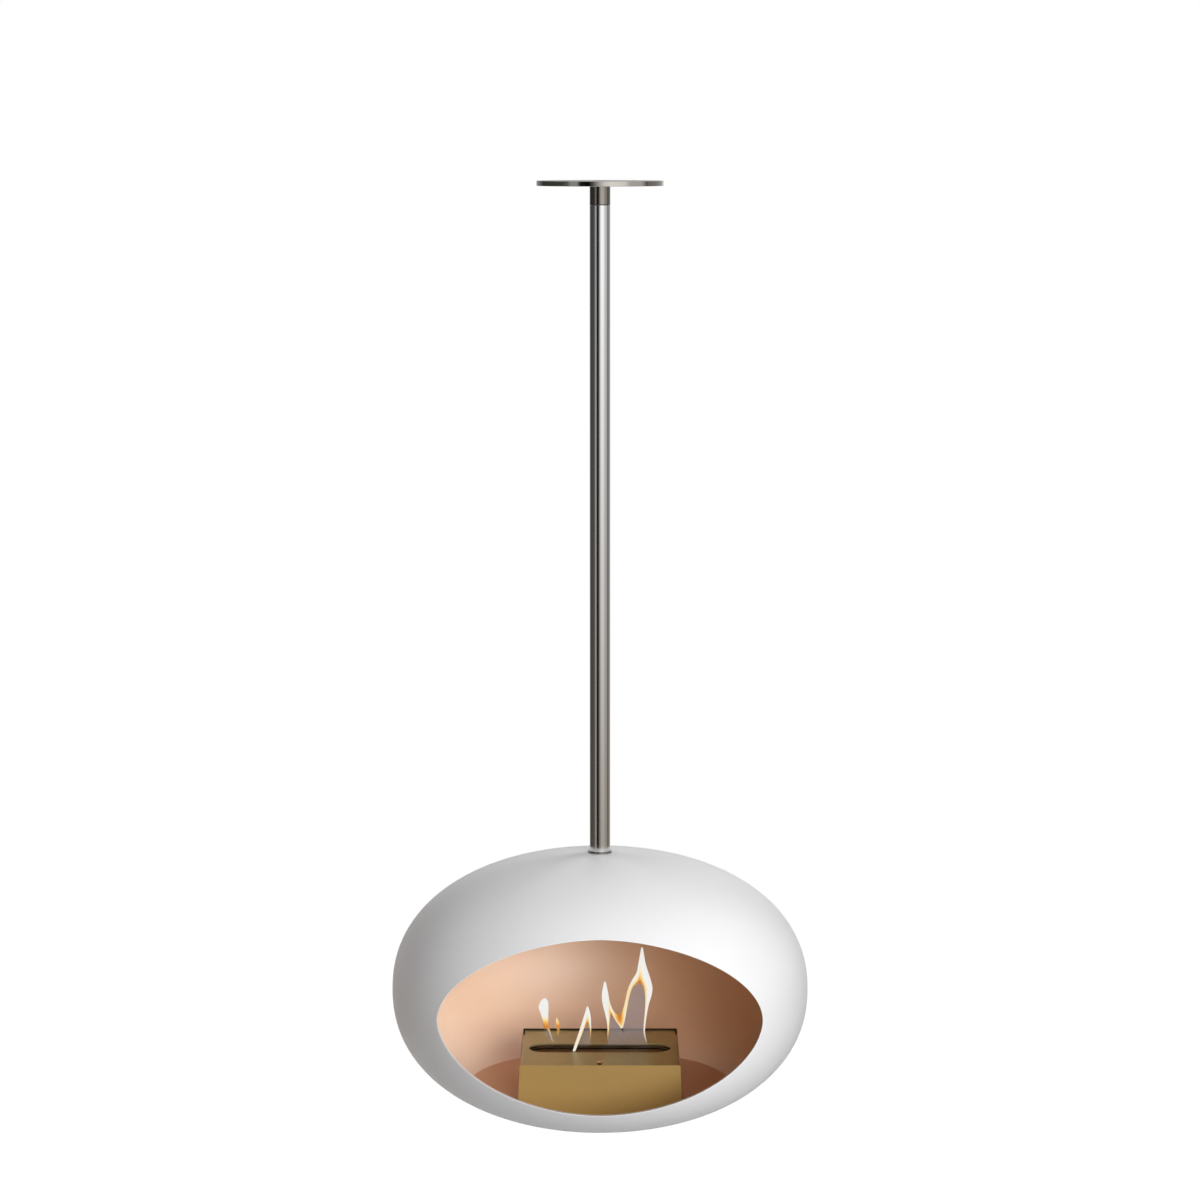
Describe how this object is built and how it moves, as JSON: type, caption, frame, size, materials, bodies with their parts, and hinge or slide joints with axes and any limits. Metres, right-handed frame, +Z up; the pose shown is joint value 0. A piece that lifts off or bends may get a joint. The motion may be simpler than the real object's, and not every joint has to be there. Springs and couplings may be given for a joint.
{
  "type": "hanging fireplace",
  "caption": "Rounded white steel fireplace hung on a turning pole, with a copper-toned lining, an oval front opening and a lift-out liquid-fuel burner.",
  "frame": {"origin": "centre of the ceiling plate's upper face, where it meets the ceiling", "axes": "+Z up along the pole, -Y towards the front opening, +X to the right seen from the front"},
  "size_m": [0.5748, 0.5254, 1.3009],
  "materials": {
    "polished_steel": "polished stainless steel",
    "dark_satin_steel": "dark satin stainless steel",
    "brushed_pole": "finely brushed stainless steel",
    "machined_steel": "turned or zinc-plated steel",
    "black_steel": "blackened steel",
    "bronze": "plain bearing bronze",
    "black_nylon": "black nylon",
    "white_coat": "satin white powder coat with fine orange peel",
    "copper_lining": "satin rose-copper lacquer",
    "copper_hearth": "satin brown-copper lacquer",
    "brass_casing": "satin brass-toned sheet",
    "brass_plate": "darker satin brass-toned sheet",
    "brass_knob": "turned brass",
    "burner_steel": "heat-tinted stainless steel",
    "shutter_steel": "heat-tinted stainless steel",
    "flame_mesh": "heat-tinted fine wire mesh",
    "ceramic_wool": "white ceramic fibre"
  },
  "bodies": {
    "ceiling_mount": {"ceiling_plate": "polished_steel", "ceiling_hub": "dark_satin_steel", "thrust_washer": "bronze", "swivel_bush": "bronze", "joint_washer": "black_nylon"},
    "fireplace": {"swivel_spindle": "machined_steel", "pole_top_plug": "machined_steel", "pole_tube": "brushed_pole", "pole_foot_plug": "machined_steel", "grub_screws": "black_steel", "collar_ring": "dark_satin_steel", "outer_shell": "white_coat", "inner_liner": "copper_lining", "skin_spacer": "machined_steel", "opening_rim": "white_coat", "load_plate": "machined_steel", "stud_washer": "machined_steel", "stud_nut": "machined_steel", "hearth_plate": "copper_hearth", "base_plate": "machined_steel", "centre_post": "machined_steel", "post_screw": "machined_steel", "burner_casing": "brass_casing", "left_ledge": "machined_steel", "right_ledge": "machined_steel", "casing_screws": "machined_steel", "casing_nuts": "machined_steel"},
    "burner_insert": {"top_plate": "brass_plate", "lift_knob": "brass_knob", "knob_nut": "machined_steel", "left_rail": "machined_steel", "right_rail": "machined_steel", "tank_lid": "burner_steel", "fuel_tank": "burner_steel", "ceramic_wool": "ceramic_wool", "flame_mesh": "flame_mesh"},
    "shutter": {"shutter_plate": "shutter_steel"}
  },
  "joints": [
    {"name": "swivel", "type": "hinge", "parent": "ceiling_mount", "child": "fireplace", "pos_m": [0, 0, -0.0326], "axis": [0, 0, 1], "continuous": true},
    {"name": "insert_lift", "type": "slide", "parent": "fireplace", "child": "burner_insert", "axis": [0, 0, 1], "range_m": [0, 0.06]},
    {"name": "shutter_slide", "type": "slide", "parent": "burner_insert", "child": "shutter", "axis": [0, -1, 0], "range_m": [0, 0.0473]}
  ]
}
